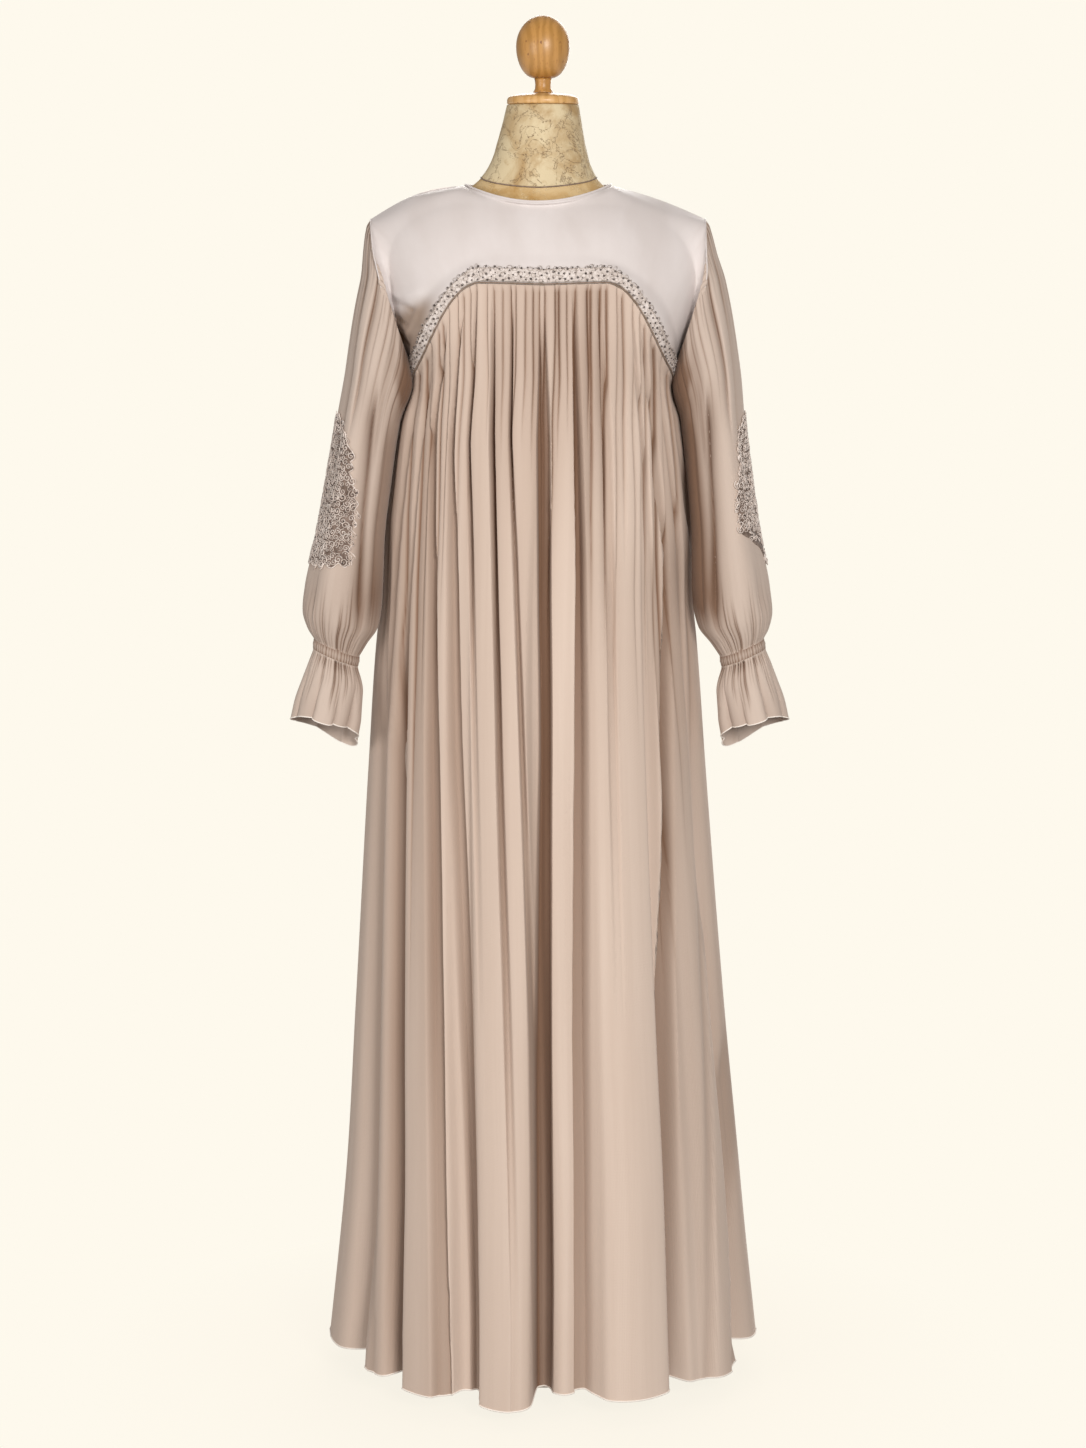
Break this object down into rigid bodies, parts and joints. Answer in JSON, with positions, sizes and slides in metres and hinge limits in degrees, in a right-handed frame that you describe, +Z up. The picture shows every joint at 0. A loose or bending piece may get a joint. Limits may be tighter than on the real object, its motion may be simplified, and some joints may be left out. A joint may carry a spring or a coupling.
{
  "type": "abaya on dress form",
  "caption": "Floor-length gathered abaya: satin yoke, beaded arched seam, lace on the sleeves and ruffled cuffs, worn by a limbless dress form with a turned finial and round base.",
  "frame": {"origin": "centre of the dress form base's underside, on the floor", "axes": "+Z up; the garment's front faces -Y; +X is the wearer's left"},
  "size_m": [0.614, 0.5199, 1.68],
  "materials": {
    "chiffon": "blush-taupe crepe chiffon, soft matt with a faint sheen",
    "satin": "pale mauve-grey crepe-back satin, low sheen",
    "trim_thread": "mauve-grey embroidery thread and piping",
    "beads": "pewter-lined seed beads, glossy",
    "lace": "corded guipure lace with darker thread",
    "form_cover": "aged mottled linen and parchment covering",
    "beech": "turned beech, clear satin varnish",
    "painted_steel": "ivory satin paint"
  },
  "bodies": {
    "root": {"form_torso": "form_cover", "form_cap": "beech", "form_stem": "beech", "form_finial": "beech", "form_pole": "painted_steel", "form_base": "painted_steel", "yoke_front": "satin", "yoke_back": "satin", "neck_binding": "satin", "beaded_trim": "trim_thread", "seam_piping": "trim_thread", "skirt_front": "chiffon", "skirt_back": "chiffon", "sleeve_right": "chiffon", "lace_right": "lace", "wrist_band_right": "chiffon", "ruffle_right": "chiffon", "sleeve_left": "chiffon", "lace_left": "lace", "wrist_band_left": "chiffon", "ruffle_left": "chiffon"}
  },
  "joints": []
}
